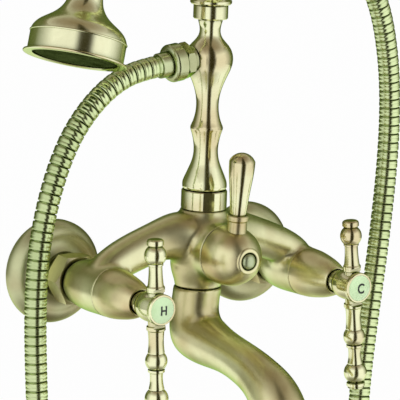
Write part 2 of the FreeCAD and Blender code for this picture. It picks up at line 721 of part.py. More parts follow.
def half_ring(low, high, inner, outer, middle):
    # The lower half of a ring round the X axis, open to the top.
    corners = [V(low, 0, -outer), V(high, 0, -outer), V(high, 0, -inner), V(low, 0, -inner)]
    face = Part.Face(Part.makePolygon(corners + corners[:1]))
    face.rotate(V(0, 0, 0), V(1, 0, 0), -90)
    solid = face.revolve(V(0, 0, 0), V(1, 0, 0), 180)
    solid.translate(middle)
    return solid


handset_place = FreeCAD.Placement(V(0, -body_out, handset_height),
                                  FreeCAD.Rotation(V(1, 0, 0), -handset_roll))
lean_turn = math.radians(head_lean)
head_up = V(math.sin(lean_turn), 0, math.cos(lean_turn))
head_face = V(-head_left, 0, -head_drop)


def handset_axis(origin, direction):
    return handset_place.multiply(FreeCAD.Placement(origin, FreeCAD.Rotation(V(0, 0, 1), direction)))


def make_head():
    axis = handset_axis(head_face, head_up)
    outer = [(skirt_radius, lip_height + 0.2), (skirt_radius, skirt_height - 1.2),
             (skirt_radius + 0.5, skirt_height - 0.6, "middle"), (skirt_radius, skirt_height),
             [(26.3, 20.2), (19.6, 25.2), (13.9, 30.6), (11.5, 35.2), (10.4, 40.6), (9.4, bell_height)]]
    bell = turned([(skirt_radius - bell_wall, lip_height + 0.2), *outer, (5.0, bell_height),
                   (5.0, bell_height - 8),
                   (9.6, 35.2), (12.2, 29.8), (24.2, 18.7),
                   (skirt_radius - bell_wall - 1.4, 13.0), (skirt_radius - bell_wall - 1.4, 8.6),
                   (skirt_radius - bell_wall, 8.6)], axis)
    save("handset_bell", bell)

    inner = skirt_radius - bell_wall - fixed_gap
    rim = turned([(26.4, 0.5), (27.8, 0), (lip_radius - 0.6, 0), (lip_radius, 0.8, "middle"),
                  (lip_radius - 0.6, lip_height), (inner, lip_height), (inner, 5.0),
                  (27.0, 5.0), (27.0, lip_height), (26.4, lip_height)], axis)
    save("handset_rim", rim)

    plate_low = lip_height + 0.1
    plate_radius = 26.9
    plate = turned([(0, plate_low + plate_thickness), (plate_radius, plate_low + plate_thickness),
                    (plate_radius, plate_low), (26.0, plate_low), (24.0, plate_low - 0.8),
                    (0, plate_low - 0.8)])
    for count, at in ((6, 6.0), (12, 12.5), (18, 19.0)):
        for k in range(count):
            turn = 2 * math.pi * (k + 0.5 * (count == 12)) / count
            hole = Part.makeCylinder(nozzle_radius, 6, V(at * math.cos(turn), at * math.sin(turn), -1))
            plate = plate.cut(hole)
    save("spray_plate", moved(plate, axis))
    seal_low = plate_low + plate_thickness
    save("spray_seal", ring(26.6, 23.8, seal_low, 8.5, axis))


def make_handle():
    # The head's axis and the level grip meet at a corner that the elbow rounds off.
    to_level = head_drop / math.cos(lean_turn)
    corner_x = -head_left + to_level * math.sin(lean_turn)
    turn = 90 - head_lean
    tangent = elbow_radius * math.tan(math.radians(turn / 2))
    elbow_end = corner_x + tangent
    centre = V(elbow_end, 0, -elbow_radius)
    elbow = bent_rod(elbow_tube_radius, elbow_radius, turn, 4.5)
    elbow.rotate(V(0, 0, 0), V(0, -1, 0), 90)
    elbow.translate(centre)
    stem_low = bell_height + 0.05
    stem_high = to_level - tangent
    neck_place = FreeCAD.Placement(head_face, FreeCAD.Rotation(V(0, 0, 1), head_up))
    neck = turned([(4.5, stem_low), (9.2, stem_low), (9.8, stem_low + 0.8), (9.8, stem_low + 2.4),
                   (8.6, stem_low + 3.4), (elbow_tube_radius, stem_high), (4.5, stem_high)], neck_place)
    elbow = elbow.fuse(neck).removeSplitter()
    save("handset_elbow", moved(elbow, handset_place))

    level = FreeCAD.Placement(V(0, 0, 0), FreeCAD.Rotation(V(0, 0, 1), V(1, 0, 0)))
    left = elbow_end + 0.05
    right = tail_start - 0.05
    seat = fork_half_spacing
    swell_start = seat - fork_width / 2 - 3.0
    collar_radius = handle_radius + 1.4
    swell = [(handle_radius + 0.4, -swell_start + 2.0), (grip_radius, -grip_half_flat),
             (grip_radius, grip_half_flat), (handle_radius + 0.4, swell_start - 2.0), (handle_radius, swell_start)]
    grip = turned([(grip_bore, left), (elbow_tube_radius + 0.6, left), (collar_radius, left + 2.2, "middle"),
                   (elbow_tube_radius + 0.8, left + 4.6), (handle_radius, left + 5.0),
                   (handle_radius, -swell_start), swell,
                   (handle_radius, right - 9.0), (elbow_tube_radius + 0.8, right - 8.6),
                   (collar_radius, right - 4.4, "middle"), (elbow_tube_radius + 0.2, right),
                   (grip_bore, right)], level)
    save("handset_grip", moved(grip, handset_place))

    tail = bent_rod(elbow_tube_radius - 0.4, tail_bend_radius, tail_bend, 4.5)
    tail.rotate(V(0, 0, 0), V(0, -1, 0), 90 - tail_bend)
    tail.translate(V(tail_start, 0, -tail_bend_radius))
    down = math.radians(tail_bend)
    tail_end = V(tail_start + tail_bend_radius * math.sin(down), 0,
                 -tail_bend_radius * (1 - math.cos(down)))
    direction = V(math.cos(down), 0, -math.sin(down))
    local = FreeCAD.Placement(tail_end, FreeCAD.Rotation(V(0, 0, 1), direction))
    shoulder = 4.0
    thread_high = shoulder + hose_thread_length
    end = turned([(4.5, 0), (elbow_tube_radius - 0.4, 0), (elbow_tube_radius - 0.4, 0.6),
                  (10.4, 1.4), (10.4, shoulder), (hose_thread_radius, shoulder),
                  (hose_thread_radius, thread_high), (4.5, thread_high)], local)
    tail = tail.fuse(end).removeSplitter()
    save("handset_tail", moved(tail, handset_place))
    axis = handset_place.multiply(local)
    ferrule_end = save_hose_end("hose_handset", axis, thread_high, shoulder)
    return axis.multVec(V(0, 0, ferrule_end)), axis.Rotation.multVec(V(0, 0, 1))


# Spout sections: how far out of its own axis, height, radius, and how far the section has
# turned forward. The whole spout is drawn straight ahead and then turned a little.
spout_sections = [(0.0, -5.7, 15.3, 0), (-1.8, -16.0, 15.3, -4), (-2.2, -27.2, 16.2, 16),
                  (2.2, -36.2, 17.4, 46), (12.5, -39.6, 16.2, 70), (26.0, -41.6, 14.1, 82),
                  (43.0, -44.4, 13.1, 78), (62.0, -49.4, 13.8, 66), (79.0, -58.0, 15.8, 46),
                  (90.5, -70.8, 16.4, 24), (95.6, -84.0, 16.2, 8), (96.6, -91.0, 15.8, 0)]
spout_place = FreeCAD.Placement(V(0, -spout_out, 0), FreeCAD.Rotation(V(0, 0, 1), spout_turn))


def spout_loft(shrink):
    wires = []
    for out, height, radius, turn in spout_sections:
        angle = math.radians(turn)
        wires.append(circle_at((0, -out, height), (0, -math.sin(angle), -math.cos(angle)), radius - shrink))
    return moved(Part.makeLoft(wires, True, False), spout_place)


def make_spout():
    top = spout_sections[0][1]
    tip_out, tip_height, tip_radius, _ = spout_sections[-1]
    groove = 1.6
    low_ring = body_bottom + 3.0
    high_ring = body_bottom + 7.5
    tail = [(waterway_radius, top - 4), (spout_tail_radius, top - 4)]
    for at in (low_ring, high_ring):
        tail += [(spout_tail_radius, at), (spout_tail_radius - groove, at),
                 (spout_tail_radius - groove, at + 2.0), (spout_tail_radius, at + 2.0)]
    tail += [(spout_tail_radius, body_bottom + spout_tail_length),
             (waterway_radius, body_bottom + spout_tail_length)]
    outer = spout_loft(0).cut(spout_loft(spout_wall))
    plug = rod(spout_radius - spout_wall + 0.5, top - 5, top, spout_axis)
    tube = outer.fuse(plug).fuse(turned(tail, spout_axis)).removeSplitter()
    tube = tube.cut(rod(waterway_radius, top - 8, body_bottom + 20, spout_axis))
    tip = spout_place.multiply(place((0, -tip_out, tip_height), (0, 0, -1)))
    seat = aerator_radius + fixed_gap
    tube = tube.cut(rod(seat, -aerator_length, 5, tip))
    save("spout_tube", tube)

    save("spout_o_rings", *[ring(spout_tail_radius - 0.02, spout_tail_radius - groove + 0.02, at + 0.02, at + 1.98, spout_axis)
                            for at in (low_ring, high_ring)])

    housing = turned([(aerator_radius - 1.6, -aerator_length + 0.2), (aerator_radius, -aerator_length + 0.2),
                      (aerator_radius, 0.1), (tip_radius - 0.4, 0.1), (tip_radius - 0.4, 2.6),
                      (tip_radius - 1.2, 3.4), (9.4, 3.4), (9.4, 1.4), (aerator_radius - 1.6, 1.4)], tip)
    save("aerator_housing", housing)
    insert = rod(aerator_radius - 1.7, -aerator_length + 1.0, 1.3, tip)
    for count, at in ((1, 0.0), (6, 3.6), (12, 7.2)):
        for k in range(count):
            turn = 2 * math.pi * k / count
            hole = rod(1.1, -aerator_length, 2, place((at * math.cos(turn), at * math.sin(turn), 0), (0, 0, 1)))
            insert = insert.cut(moved(hole, tip))
    save("aerator_insert", insert)


# The hose's route, seen from the front: how far right of the middle, and the height. It
# leaves the column's outlet, hangs in one loop and comes back up to the hand shower.
route_across = [(-69.1, 130.2), (-82.0, 120.8), (-93.6, 108.4), (-103.4, 93.3), (-111.6, 74.0),
                (-118.2, 50.3), (-122.4, 24.0), (-123.6, -8.0), (-122.0, -46.0), (-118.2, -98.0),
                (-116.2, -158.0), (-115.6, -224.0), (-116.0, -288.0), (-110.0, -350.0),
                (-82.0, -403.0), (-27.0, -434.4), (40.0, -434.8), (97.0, -402.0),
                (126.0, -346.0), (131.6, -280.0), (131.2, -212.0), (130.6, -146.0),
                (131.6, -88.0), (135.6, -44.0), (140.4, -4.0), (143.9, 33.0), (145.5, 67.0),
                (144.7, 97.5), (141.0, 124.4), (135.2, 147.0), (128.7, 165.4)]
# Beside the hand shower the route also comes forward, towards its tilted handle.
route_forward = [0.8, 2.2, 4.4, 6.8, 8.7]
route_lead = 16.0


def route_points(start, start_way, end, end_way):
    points = [start, start + start_way * route_lead]
    forward = [0.0] * (len(route_across) - len(route_forward)) + route_forward
    points += [V(x, -body_out - f, z) for (x, z), f in zip(route_across, forward)]
    points += [end + end_way * route_lead, end]
    return points


def tube_path(points):
    # Straight runs joined by tangent arcs, as large as the two runs of each corner allow.
    edges = []
    radii = []
    at = points[0]
    for before, corner, after in zip(points, points[1:], points[2:]):
        back = (before - corner).normalize()
        on = (after - corner).normalize()
        turn = math.pi - back.getAngle(on)
        shorter = min(before.distanceToPoint(corner), corner.distanceToPoint(after))
        reach = 0.45 * shorter
        radius = reach / math.tan(turn / 2)
        radii.append(radius)
        first = corner + back * reach
        last = corner + on * reach
        middle = (back + on).normalize()
        mid = corner + middle * (radius / math.cos(turn / 2) - radius)
        edges.append(Part.LineSegment(at, first).toShape())
        edges.append(Part.Arc(first, mid, last).toShape())
        at = last
    edges.append(Part.LineSegment(at, points[-1]).toShape())
    return Part.Wire(edges), radii


def hose_loft(path, stations):
    # A ruled skin through circles square to the path, each with its X axis towards the wall.
    edges = path.OrderedEdges
    starts = [0.0]
    for edge in edges:
        starts.append(starts[-1] + edge.Length)
    rings = []
    k = 0
    for at, radius in stations:
        while k < len(edges) - 1 and at > starts[k + 1]:
            k += 1
        edge = edges[k]
        parameter = edge.getParameterByLength(min(at - starts[k], edge.Length))
        centre = edge.valueAt(parameter)
        way = edge.tangentAt(parameter)
        turn = FreeCAD.Rotation(V(0, 1, 0), V(0, 0, 0), way, "ZXY")
        circle = Part.Wire(Part.makeCircle(radius))
        circle.Placement = FreeCAD.Placement(centre, turn)
        rings.append(circle)
    return Part.makeLoft(rings, True, True)


def make_hose(start, start_way, end, end_way):
    points = route_points(start, start_way, end, end_way)
    path, radii = tube_path(points)
    length = path.Length
    print("hose length %.1f mm, smallest radius %.1f mm (%.1f diameters)"
          % (length, min(radii), min(radii) / hose_diameter))
    print("radii", [round(r) for r in radii])
    runs = [a.distanceToPoint(b) for a, b in zip(points, points[1:])]
    print("runs", [round(r) for r in runs])
    outer = hose_diameter / 2
    section = math.pi * (outer ** 2 - hose_bore_radius ** 2)
    pitch = (length - 2 * hose_diameter) / hose_ribs
    stations = [(0.0, outer), (hose_diameter, outer)]
    for k in range(hose_ribs):
        at = hose_diameter + k * pitch
        stations += [(at + 0.20 * pitch, outer - hose_groove), (at + 0.36 * pitch, outer - hose_groove),
                     (at + 0.52 * pitch, outer), (at + pitch, outer)]
    stations[-1] = (length - hose_diameter, outer)
    stations.append((length, outer))
    ribbed = hose_loft(path, stations)
    bore = hose_loft(path, [(k * length / 120, hose_bore_radius) for k in range(121)])
    hose = ribbed.cut(bore)
    print("hose volume / section x length = %.4f" % (hose.Volume / (section * length)))
    save("hose", hose)


for side in ("hot", "cold"):
    make_wall_side(side)
    make_bonnet(side)
make_washers()
make_body_casting()
make_lever("hot", hot_lean, make_cartridge("hot"))
make_lever("cold", cold_lean, make_cartridge("cold"))
save("seat_seals", *seat_seals)
save("fixed_discs", *fixed_discs)
make_diverter()
riser = make_column()
thread_end = make_outlet(riser)
make_cradle()
make_head()
hose_end, hose_end_way = make_handle()
make_spout()
ferrule_end = thread_end + hose_washer + 0.6 + fixed_gap + hose_nut_wall + 0.2 + ferrule_length
hose_start = outlet_axis.multVec(V(0, 0, ferrule_end))
hose_start_way = outlet_axis.Rotation.multVec(V(0, 0, 1))
make_hose(hose_start, hose_start_way, hose_end + hose_end_way * free_gap, hose_end_way)

print("nodes", len(solids_saved))
box = Part.makeCompound(list(solids_saved.values())).BoundBox
print("box", [round(v, 1) for v in (box.XMin, box.YMin, box.ZMin, box.XMax, box.YMax, box.ZMax)])
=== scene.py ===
import bpy
import bmesh
import json
import math
from mathutils import Matrix, Vector


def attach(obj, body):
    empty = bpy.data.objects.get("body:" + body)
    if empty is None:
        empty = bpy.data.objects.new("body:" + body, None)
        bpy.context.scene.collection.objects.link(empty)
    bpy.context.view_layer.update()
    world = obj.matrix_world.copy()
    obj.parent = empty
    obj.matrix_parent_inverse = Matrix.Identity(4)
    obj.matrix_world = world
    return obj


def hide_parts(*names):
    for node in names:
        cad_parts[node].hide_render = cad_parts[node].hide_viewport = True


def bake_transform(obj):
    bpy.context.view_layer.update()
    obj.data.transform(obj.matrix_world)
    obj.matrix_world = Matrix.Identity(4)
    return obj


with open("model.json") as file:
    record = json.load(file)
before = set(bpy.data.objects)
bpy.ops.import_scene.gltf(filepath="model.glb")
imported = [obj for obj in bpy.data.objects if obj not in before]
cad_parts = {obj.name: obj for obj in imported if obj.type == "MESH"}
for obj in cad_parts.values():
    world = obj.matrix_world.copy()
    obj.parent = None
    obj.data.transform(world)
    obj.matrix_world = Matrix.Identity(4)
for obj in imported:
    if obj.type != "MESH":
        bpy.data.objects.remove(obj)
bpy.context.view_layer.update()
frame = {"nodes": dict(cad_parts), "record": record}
nodes = frame["nodes"]
mm = 0.001    # places and sizes are in millimetres, apart from the camera's and the studio's in metres
weld = 0.002 * mm    # points nearer than this are one point
print("frame loaded,", len(nodes), "nodes")

# The mixer hangs on a wall: X runs to the cold side, Y into the wall and Z up.
cameraView = {
    "azimuth": 35.0,              # degrees that the camera stands round to the hot side
    "elevation": 12.03,
    "roll": 2.13,
    "distance": 2.0,
    "lookAt": (0.0, -0.076, 0.0),
    "lookAtPixel": (214.41, 282.58),    # where that point is in the picture
    "focalPixels": 3152.8,
    "framePixels": 400,
    "sensorWidth": 36,
    "farthest": 50,
}


def placeCamera(view):
    azimuth, elevation, roll = (math.radians(view[k]) for k in ("azimuth", "elevation", "roll"))
    ahead = Vector((math.sin(azimuth) * math.cos(elevation), math.cos(azimuth) * math.cos(elevation),
                    -math.sin(elevation)))
    level = Vector((math.cos(azimuth), -math.sin(azimuth), 0))
    top = level.cross(ahead)
    across = level * math.cos(roll) + top * math.sin(roll)
    upward = top * math.cos(roll) - level * math.sin(roll)
    eye = Vector(view["lookAt"]) - ahead * view["distance"]
    # the lens axis goes through the middle of the picture, beside the point looked at
    aside, below = ((pixel - view["framePixels"] / 2) / view["focalPixels"] for pixel in view["lookAtPixel"])
    ahead = ahead - across * aside + upward * below
    ahead.normalize()
    across = (across - ahead * across.dot(ahead)).normalized()
    upward = across.cross(ahead)
    lens = bpy.data.cameras.new("photoCamera")
    lens.sensor_width = view["sensorWidth"]
    lens.lens = view["focalPixels"] / view["framePixels"] * view["sensorWidth"]
    lens.clip_end = view["farthest"]
    camera = bpy.data.objects.new("photoCamera", lens)
    bpy.context.collection.objects.link(camera)
    turned = Matrix((across, upward, -ahead)).transposed().to_4x4()
    camera.matrix_world = Matrix.Translation(eye) @ turned
    bpy.context.scene.camera = camera


def addPiece(name, bm, sharpAngle=None):
    # a mesh piece at the origin, with its place in its points
    mesh = bpy.data.meshes.new(name)
    bm.to_mesh(mesh)
    bm.free()
    mesh.shade_smooth()
    if sharpAngle is not None:
        mesh.set_sharp_from_angle(angle=math.radians(sharpAngle))
    piece = bpy.data.objects.new(name, mesh)
    bpy.context.collection.objects.link(piece)
    return piece


placeCamera(cameraView)
print("camera placed")

# The hose leaves the outlet on the left, hangs in one long loop and comes back to the hand shower.
hose = {
    "start": (-38.42, -61.0, 138.40), "startWay": (-0.99027, 0.0, -0.13917),
    "end": (113.383, -68.023, 194.638), "endWay": (0.5, -0.13846, -0.85489),
    "lead": 16.0,                 # straight runs at both ends
    "out": 61.0,                  # how far the loop hangs in front of the wall
    "loop": [(-69.1, 130.2), (-82.0, 120.8), (-93.6, 108.4), (-103.4, 93.3), (-111.6, 74.0),
             (-118.2, 50.3), (-122.4, 24.0), (-123.6, -8.0), (-122.0, -46.0), (-118.2, -98.0),
             (-116.2, -158.0), (-115.6, -224.0), (-116.0, -288.0), (-110.0, -350.0),
             (-82.0, -403.0), (-27.0, -434.4), (40.0, -434.8), (97.0, -402.0),
             (126.0, -346.0), (131.6, -280.0), (131.2, -212.0), (130.6, -146.0),
             (131.6, -88.0), (135.6, -44.0), (140.4, -4.0), (143.9, 33.0), (145.5, 67.0),
             (144.7, 97.5), (141.0, 124.4), (135.2, 147.0), (128.7, 165.4)],
    "nearer": [0.8, 2.2, 4.4, 6.8, 8.7],    # the last points stand this much further out
    "diameter": 14.0,
    "length": 1389.0,
    "steps": 24,                  # of the line between two of its points
    "turnLength": 5.9,            # one turn of the interlocked strip
    "sides": 28,
    # place along one turn, rise over the mean surface, and how much painted shade the groove gets
    "turn": [(0.00, -0.10, 0.2), (0.05, 0.14, 0.0), (0.22, 0.24, 0.0), (0.40, 0.16, 0.0),
             (0.46, 0.00, 0.2), (0.50, 0.00, 0.2), (0.55, 0.10, 0.0), (0.68, 0.16, 0.0),
             (0.80, 0.04, 0.0), (0.85, -0.30, 0.6), (0.88, -1.00, 1.0), (0.95, -1.00, 1.0)],
    # The side that faces this way is left light, with painted shade in its grooves. It turns into the side
    # that gets painted shade all over, where the grooves' painted shade is faint, at the given middle and
    # rate.
    "litSide": (0.819, -0.574, 0.0), "middle": 0.4, "rate": 2.5, "faint": 0.35, "shadedSide": 0.20,
}


def routePoints(route):
    start, startWay = Vector(route["start"]), Vector(route["startWay"])
    end, endWay = Vector(route["end"]), Vector(route["endWay"])
    nearer = [0.0] * (len(route["loop"]) - len(route["nearer"])) + route["nearer"]
    points = [start, start + startWay * route["lead"]]
    points += [Vector((x, -route["out"] - n, z)) for (x, z), n in zip(route["loop"], nearer)]
    points += [end + endWay * route["lead"], end]
    return [p * mm for p in points]


def readSpline(points, steps):
    curve = bpy.data.curves.new("hoseLine", "CURVE")
    curve.dimensions = "3D"
    curve.resolution_u = steps
    spline = curve.splines.new("NURBS")
    spline.points.add(len(points) - 1)
    for control, p in zip(spline.points, points):
        control.co = (*p, 1)
    spline.order_u = 3
    spline.use_endpoint_u = True
    line = bpy.data.objects.new("hoseLine", curve)
    bpy.context.collection.objects.link(line)
    bpy.context.view_layer.update()
    mesh = bpy.data.meshes.new_from_object(line)
    path = [v.co.copy() for v in mesh.vertices]
    bpy.data.objects.remove(line)
    bpy.data.meshes.remove(mesh)
    return path


def placesAlong(path, distances):
    # the centre and the direction at each distance along the path, both in rising order
    lengths = [0.0]
    for p, q in zip(path, path[1:]):
        lengths.append(lengths[-1] + (q - p).length)
    last = len(path) - 1
    ways = [(path[min(k + 1, last)] - path[max(k - 1, 0)]).normalized() for k in range(len(path))]
    k = 0
    for distance in distances:
        while k < last - 1 and distance > lengths[k + 1]:
            k += 1
        share = (distance - lengths[k]) / (lengths[k + 1] - lengths[k])
        yield path[k].lerp(path[k + 1], share), ways[k].lerp(ways[k + 1], share).normalized()


def makeHose(h):
    path = readSpline(routePoints(h), h["steps"])
    total = sum((q - p).length for p, q in zip(path, path[1:]))
    outer = h["diameter"] / 2 * mm
    plain = h["turnLength"] / 2 * mm
    count = round((total - 2 * plain) / (h["turnLength"] * mm))
    pitch = (total - 2 * plain) / count
    mean = max(rise for _, rise, _ in h["turn"]) * mm
    rings = [(0.0, outer - mean, 0.0)]
    rings += [(plain + (k + at) * pitch, outer - mean + rise * mm, soot)
              for k in range(count) for at, rise, soot in h["turn"]]
    rings += [(total - plain, outer - mean, 0.0), (total, outer - mean, 0.0)]
    centres = list(placesAlong(path, [r[0] for r in rings]))
    bm = bmesh.new()
    bmesh.ops.create_grid(bm, x_segments=len(rings) - 1, y_segments=h["sides"], size=0.5)
    sootLayer = bm.verts.layers.float.new("soot")
    for v in bm.verts:    # the grid is rolled round the line, one column to a ring
        side, k = divmod(v.index, len(rings))
        centre, way = centres[k]
        _, radius, soot = rings[k]
        forward = (Vector((0, 1, 0)) - way * way.y).normalized()
        angle = 2 * math.pi * side / h["sides"]
        outward = forward * math.cos(angle) + way.cross(forward) * math.sin(angle)
        v.co = centre + outward * radius
        # painted light: the side facing litSide stays light, and the grooves and the far side get painted
        # shade
        litShare = min(1.0, max(0.0, h["middle"] + h["rate"] * outward.dot(Vector(h["litSide"]))))
        groove = h["faint"] + (1 - h["faint"]) * litShare
        v[sootLayer] = soot * groove + h["shadedSide"] * (1 - litShare) * (1 - soot)
    bmesh.ops.remove_doubles(bm, verts=bm.verts, dist=0.001 * mm)
    bmesh.ops.recalc_face_normals(bm, faces=bm.faces)
    piece = addPiece("metalHose", bm)
    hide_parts("hose")
    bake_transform(piece)    # metres
    [c * mm for c in h["start"]]
    [list(p) for p in path]
    print("hose made, %.3f m" % total)
    return piece


metalHose = makeHose(hose)


def newMaterial(name):
    made = bpy.data.materials.new(name)
    made.use_nodes = True
    tree = made.node_tree
    return made, tree, tree.nodes["Principled BSDF"]


def objectNoise(tree, scale, detail, stretch=(1, 1, 1), roughness=0.55):
    # noise in the object's own space, stretched where a tool or a brush has drawn it out
    place = tree.nodes.new("ShaderNodeTexCoord")
    mapping = tree.nodes.new("ShaderNodeMapping")
    mapping.inputs["Scale"].default_value = stretch
    noise = tree.nodes.new("ShaderNodeTexNoise")
    noise.inputs["Scale"].default_value = scale
    noise.inputs["Detail"].default_value = detail
    noise.inputs["Roughness"].default_value = roughness
    tree.links.new(place.outputs["Object"], mapping.inputs["Vector"])
    tree.links.new(mapping.outputs["Vector"], noise.inputs["Vector"])
    return noise.outputs["Fac"]


def colourRamp(tree, source, *stops):
    ramp = tree.nodes.new("ShaderNodeValToRGB")
    elements = ramp.color_ramp.elements
    while len(elements) < len(stops):
        elements.new(0.5)
    for element, (at, colour) in zip(elements, stops):
        element.position = at
        element.color = (*colour, 1)
    tree.links.new(source, ramp.inputs["Fac"])
    return ramp.outputs["Color"]


def mixColours(tree, share, first, second, blend="MIX"):
    mix = tree.nodes.new("ShaderNodeMix")
    mix.data_type = "RGBA"
    mix.blend_type = blend
    factor, a, b = mix.inputs[0], mix.inputs[6], mix.inputs[7]    # a mix of colours reads these sockets
    for socket, value in ((factor, share), (a, first), (b, second)):
        if isinstance(value, bpy.types.NodeSocket):
            tree.links.new(value, socket)
        elif socket is factor:
            socket.default_value = value
        else:
            socket.default_value = (*value, 1)
    return mix.outputs[2]


def mapRange(tree, source, low, high, fromLow=0.0, fromHigh=1.0):
    ranged = tree.nodes.new("ShaderNodeMapRange")
    for socket, value in (("From Min", fromLow), ("From Max", fromHigh), ("To Min", low), ("To Max", high)):
        ranged.inputs[socket].default_value = value
    tree.links.new(source, ranged.inputs["Value"])
    return ranged.outputs["Result"]


def roughen(tree, shader, source, low, high, bumpHeight, bumpStrength):
    tree.links.new(mapRange(tree, source, low, high), shader.inputs["Roughness"])
    bump = tree.nodes.new("ShaderNodeBump")
    bump.inputs["Distance"].default_value = bumpHeight
    bump.inputs["Strength"].default_value = bumpStrength
    tree.links.new(source, bump.inputs["Height"])
    tree.links.new(bump.outputs["Normal"], shader.inputs["Normal"])


# Old brass: two tones in soft clouds, fine brushing over them, a thin lacquer, and painted shade in its
# crevices.
brass = {
    "pale": (0.94, 0.95, 0.61), "paleFrom": 0.56,
    "tan": (0.79, 0.70, 0.42), "tanTo": 0.38,
    "cloudScale": 26.0, "cloudDetail": 2.0,
    "edge": (0.60, 0.74, 0.38),    # the green of the lacquer at a grazing look
    "lacquer": 0.05, "lacquerRoughness": 0.15,
    "roughness": (0.13, 0.18),
    "brush": (1, 1, 1),            # how the brushing is stretched
    "brushScale": 300.0, "brushDetail": 1.0, "brushHeight": 0.05, "brushDepth": 0.012,
    "brushShare": 0.2, "brushStops": ((0.30, (0.78, 0.77, 0.74)), (0.65, (1.0, 1.0, 1.0))),
    # painted shade: the colour is darkened where the metal is hemmed in, as ambient occlusion finds it
    "crevices": True,
    "crevice": {"reach": 6.0, "from": 0.35, "to": 0.93, "share": 0.85, "rays": 8,
                "colour": (0.075, 0.085, 0.022)},
    "soot": False,                 # whether the piece's own painted-shade attribute darkens it
    "sootColour": (0.020, 0.028, 0.006),
}
greenEdge = (0.34, 0.60, 0.16)


def makeBrass(name, **changes):
    finish = {**brass, **changes}
    made, tree, shader = newMaterial(name)
    cloud = objectNoise(tree, finish["cloudScale"], finish["cloudDetail"])
    brushed = objectNoise(tree, finish["brushScale"], finish["brushDetail"], finish["brush"])
    colour = colourRamp(tree, cloud, (finish["tanTo"], finish["tan"]), (finish["paleFrom"], finish["pale"]))
    marks = colourRamp(tree, brushed, *finish["brushStops"])
    colour = mixColours(tree, finish["brushShare"], colour, marks, "MULTIPLY")
    if finish["crevices"]:
        c = finish["crevice"]
        # painted shade: ambient occlusion darkens the colour in corners, creases and gaps
        hemmed = tree.nodes.new("ShaderNodeAmbientOcclusion")
        hemmed.samples = c["rays"]
        hemmed.inputs["Distance"].default_value = c["reach"] * mm
        creviceShadeShare = mapRange(tree, hemmed.outputs["AO"], c["share"], 0.0, c["from"], c["to"])
        colour = mixColours(tree, creviceShadeShare, colour, c["colour"])
    if finish["soot"]:
        # painted shade read from the piece's attribute
        paintedShadeMask = tree.nodes.new("ShaderNodeAttribute")
        paintedShadeMask.attribute_name = "soot"
        colour = mixColours(tree, paintedShadeMask.outputs["Fac"], colour, finish["sootColour"])
    tree.links.new(colour, shader.inputs["Base Color"])
    shader.inputs["Metallic"].default_value = 1.0
    shader.inputs["Specular Tint"].default_value = (*finish["edge"], 1)
    shader.inputs["Coat Weight"].default_value = finish["lacquer"]
    shader.inputs["Coat Roughness"].default_value = finish["lacquerRoughness"]
    roughen(tree, shader, brushed, *finish["roughness"], finish["brushHeight"] * mm, finish["brushDepth"])
    return made


# Porcelain, plastic, rubber and steel: two near tones in fine speckles.
plain = {
    "metallic": 0.0, "coat": 0.0, "specular": 0.5,
    "scale": 600.0, "detail": 4.0, "darkTo": 0.3, "lightFrom": 0.7,
    "roughnessSpread": 0.2,        # the roughness varies by this share either way
    "bumpHeight": 0.02, "bumpStrength": 0.2,
}


def makePlain(name, dark, light, roughness, **changes):
    finish = {**plain, **changes}
    made, tree, shader = newMaterial(name)
    speckle = objectNoise(tree, finish["scale"], finish["detail"])
    colour = colourRamp(tree, speckle, (finish["darkTo"], dark), (finish["lightFrom"], light))
    tree.links.new(colour, shader.inputs["Base Color"])
    shader.inputs["Metallic"].default_value = finish["metallic"]
    shader.inputs["Coat Weight"].default_value = finish["coat"]
    shader.inputs["Specular IOR Level"].default_value = finish["specular"]
    spread = finish["roughnessSpread"]
    roughen(tree, shader, speckle, roughness * (1 - spread), roughness * (1 + spread),
            finish["bumpHeight"] * mm, finish["bumpStrength"])
    return made


finishes = {
    "antique_brass": makeBrass("turnedBrass", brush=(1, 1, 5)),
    "hose_metal": makeBrass("hoseEndBrass"),
    "porcelain": makePlain("mintPorcelain", (0.66, 0.90, 0.50), (0.72, 0.94, 0.56), 0.12, coat=0.6),
    "ceramic": makePlain("whiteCeramic", (0.74, 0.73, 0.68), (0.82, 0.81, 0.76), 0.25),
    "seal_rubber": makePlain("sealRubber", (0.015, 0.015, 0.015), (0.03, 0.03, 0.03), 0.6),
    "inner_plastic": makePlain("innerPlastic", (0.66, 0.65, 0.60), (0.76, 0.75, 0.70), 0.4),
    "spray_plastic": makePlain("sprayPlastic", (0.022, 0.034, 0.005), (0.075, 0.105, 0.030), 0.8,
                               scale=70.0, specular=0.0),
    "screw_steel": makePlain("screwSteel", (0.38, 0.38, 0.37), (0.50, 0.50, 0.49), 0.3, metallic=1.0),
}
satinBrass = makeBrass("satinBrass", roughness=(0.29, 0.33), pale=(0.92, 0.88, 0.52), tan=(0.70, 0.58, 0.31))
# a darker copy of the brass, whose lower colours are painted shade on the roses
shadedRoseBrass = makeBrass("shadedRoseBrass", roughness=(0.32, 0.38), pale=(0.62, 0.64, 0.37), tan=(0.50, 0.45, 0.25))
bellBrass = makeBrass("bellBrass", roughness=(0.17, 0.21), pale=(0.97, 1.0, 0.66), tan=(0.92, 0.92, 0.60))
# a darker copy of the brass, whose lower colours are painted shade and painted dark reflection on the
# hose-outlet fitting
shadedFittingBrass = makeBrass("shadedFittingBrass", roughness=(0.19, 0.23), pale=(0.68, 0.76, 0.44),
                         tan=(0.52, 0.54, 0.30), edge=greenEdge)
castBrass = makeBrass("castBrass", roughness=(0.29, 0.34), pale=(0.94, 0.93, 0.57),
                      tan=(0.71, 0.64, 0.35), edge=greenEdge)
hoseBrass = makeBrass("ribbedHoseBrass", roughness=(0.18, 0.24), pale=(0.80, 0.92, 0.50),
                      tan=(0.64, 0.76, 0.38), soot=True, crevices=False)
metalHose.data.materials.append(hoseBrass)

